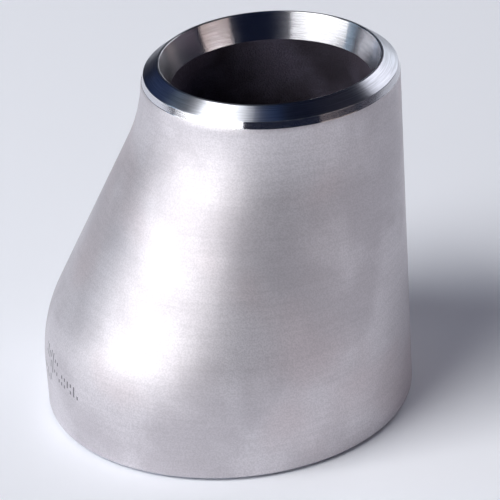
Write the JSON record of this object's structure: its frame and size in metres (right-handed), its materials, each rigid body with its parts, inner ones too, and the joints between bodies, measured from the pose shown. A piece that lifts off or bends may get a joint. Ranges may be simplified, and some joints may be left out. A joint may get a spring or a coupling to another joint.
{
  "type": "eccentric reducer",
  "caption": "Seamless butt-weld pipe reducer with one flat side and a sloping side; the small end is bevelled for welding and the large end is cut square.",
  "frame": {"origin": "centre of the large end's face, which the fitting stands on", "axes": "+Z along the large end's axis towards the small end, +X towards the flat side; the small end's axis is parallel to Z and 14.3 mm along +X"},
  "size_m": [0.0888, 0.0888, 0.0865],
  "materials": {
    "stainless_steel": "bead-blasted stainless steel, light grey and satin, with bright turned bevels, land and mouth taper"
  },
  "bodies": {
    "root": {"reducer_body": "stainless_steel"}
  },
  "joints": []
}
